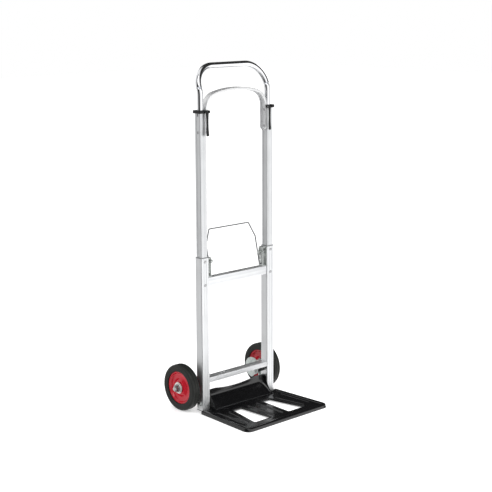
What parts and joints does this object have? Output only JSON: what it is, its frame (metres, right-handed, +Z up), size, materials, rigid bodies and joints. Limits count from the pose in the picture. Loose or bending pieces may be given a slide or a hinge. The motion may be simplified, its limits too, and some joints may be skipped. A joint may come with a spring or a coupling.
{
  "type": "hand truck",
  "caption": "Folding hand truck: telescoping aluminium rails, chrome loop handle, black pressed toe plate and red-centred wheels that swing in.",
  "frame": {"origin": "on the floor, midway between the side rails, in the plane of the rails' centres", "axes": "+Z up along the rails, -Y towards the load side where the toe plate points, +X to the truck's right"},
  "size_m": [0.42, 0.3836, 1.1],
  "materials": {
    "rail_aluminium": "satin anodised",
    "mid_aluminium": "satin anodised",
    "grey_plastic": "matte moulded",
    "black_plastic": "matte moulded",
    "zinc_steel": "bright zinc plated",
    "rivet_steel": "bright",
    "spring_steel": "black oiled",
    "chrome_tube": "mirror polished",
    "black_paint": "gloss",
    "hub_steel": "bright zinc plated",
    "red_paint": "gloss",
    "tyre_rubber": "matte rubber"
  },
  "bodies": {
    "lower_frame": {"rail_left": "rail_aluminium", "rail_right": "rail_aluminium", "rail_foot_left": "grey_plastic", "rail_foot_right": "grey_plastic", "rail_collar_left": "grey_plastic", "rail_collar_right": "grey_plastic", "rail_rivets": "rivet_steel", "upper_crossbar": "rail_aluminium", "lower_crossbar": "rail_aluminium", "latch_bracket_left": "zinc_steel", "latch_bracket_right": "zinc_steel", "latch_spring_left": "zinc_steel", "latch_spring_right": "zinc_steel", "pivot_pins": "zinc_steel", "spring_hanger": "zinc_steel", "spring_rod": "zinc_steel", "fold_spring": "spring_steel", "hinge_bracket_left": "zinc_steel", "hinge_bracket_right": "zinc_steel", "hinge_pin_left": "zinc_steel", "hinge_pin_right": "zinc_steel"},
    "mid_frame": {"mid_tube_left": "mid_aluminium", "mid_tube_right": "mid_aluminium", "mid_plugs": "grey_plastic", "arch": "mid_aluminium", "arch_rivets": "rivet_steel", "collar_left": "black_plastic", "collar_right": "black_plastic", "lever_pins": "zinc_steel"},
    "handle": {"handle": "chrome_tube", "handle_plugs": "black_plastic"},
    "lever_left": {"lever_left": "black_plastic"},
    "lever_right": {"lever_right": "black_plastic"},
    "bail": {"bail": "zinc_steel"},
    "latch_pin_left": {"latch_pin_left": "zinc_steel"},
    "latch_pin_right": {"latch_pin_right": "zinc_steel"},
    "toe_plate": {"toe_plate": "black_paint"},
    "wheel_arm_left": {"wheel_bracket_left": "zinc_steel", "axle_left": "zinc_steel", "spacer_left": "zinc_steel", "axle_nut_left": "zinc_steel", "cotter_left": "zinc_steel"},
    "wheel_left": {"hub_left": "hub_steel", "bearings_left": "hub_steel", "wheel_disc_left": "red_paint", "tyre_left": "tyre_rubber"},
    "wheel_arm_right": {"wheel_bracket_right": "zinc_steel", "axle_right": "zinc_steel", "spacer_right": "zinc_steel", "axle_nut_right": "zinc_steel", "cotter_right": "zinc_steel"},
    "wheel_right": {"hub_right": "hub_steel", "bearings_right": "hub_steel", "wheel_disc_right": "red_paint", "tyre_right": "tyre_rubber"}
  },
  "joints": [
    {"name": "mid_slide", "type": "slide", "parent": "lower_frame", "child": "mid_frame", "axis": [0, 0, 1], "range_m": [-0.36, 0]},
    {"name": "handle_slide", "type": "slide", "parent": "mid_frame", "child": "handle", "axis": [0, 0, 1], "range_m": [-0.03, 0.12]},
    {"name": "lever_left_flip", "type": "hinge", "parent": "mid_frame", "child": "lever_left", "pos_m": [-0.1313, -0.02155, 0.9555], "axis": [-1, 0, 0], "range_deg": [0, 90]},
    {"name": "lever_right_flip", "type": "hinge", "parent": "mid_frame", "child": "lever_right", "pos_m": [0.1313, -0.02155, 0.9555], "axis": [-1, 0, 0], "range_deg": [0, 90]},
    {"name": "bail_pull", "type": "hinge", "parent": "lower_frame", "child": "bail", "pos_m": [0, 0, 0.445], "axis": [-1, 0, 0], "range_deg": [0, 35], "stiffness_Nm_per_rad": 0.3, "springref_deg": -17.19},
    {"name": "latch_left_slide", "type": "slide", "parent": "lower_frame", "child": "latch_pin_left", "axis": [1, 0, 0], "range_m": [0, 0.0052], "deforming": ["latch_spring_left"]},
    {"name": "latch_right_slide", "type": "slide", "parent": "lower_frame", "child": "latch_pin_right", "axis": [-1, 0, 0], "range_m": [0, 0.0052], "deforming": ["latch_spring_right"]},
    {"name": "toe_fold", "type": "hinge", "parent": "lower_frame", "child": "toe_plate", "pos_m": [0, 0, 0.028], "axis": [-1, 0, 0], "range_deg": [0, 90]},
    {"name": "wheel_arm_right_swing", "type": "hinge", "parent": "lower_frame", "child": "wheel_arm_right", "pos_m": [0.1413, 0.033, 0.075], "axis": [0, 0, 1], "range_deg": [0, 90]},
    {"name": "wheel_arm_left_swing", "type": "hinge", "parent": "lower_frame", "child": "wheel_arm_left", "pos_m": [-0.1413, 0.033, 0.075], "axis": [0, 0, -1], "range_deg": [0, 90]},
    {"name": "wheel_right_spin", "type": "hinge", "parent": "wheel_arm_right", "child": "wheel_right", "pos_m": [0.1775, 0.0626, 0.075], "axis": [1, 0, 0], "continuous": true},
    {"name": "wheel_left_spin", "type": "hinge", "parent": "wheel_arm_left", "child": "wheel_left", "pos_m": [-0.1775, 0.0626, 0.075], "axis": [1, 0, 0], "continuous": true}
  ],
  "couplings": [
    {"joint": "latch_left_slide", "follows": "bail_pull", "m_per_rad": 0.008185},
    {"joint": "latch_right_slide", "follows": "bail_pull", "m_per_rad": 0.008185},
    {"joint": "wheel_arm_right_swing", "follows": "toe_fold", "ratio": 1},
    {"joint": "wheel_arm_left_swing", "follows": "toe_fold", "ratio": 1}
  ]
}
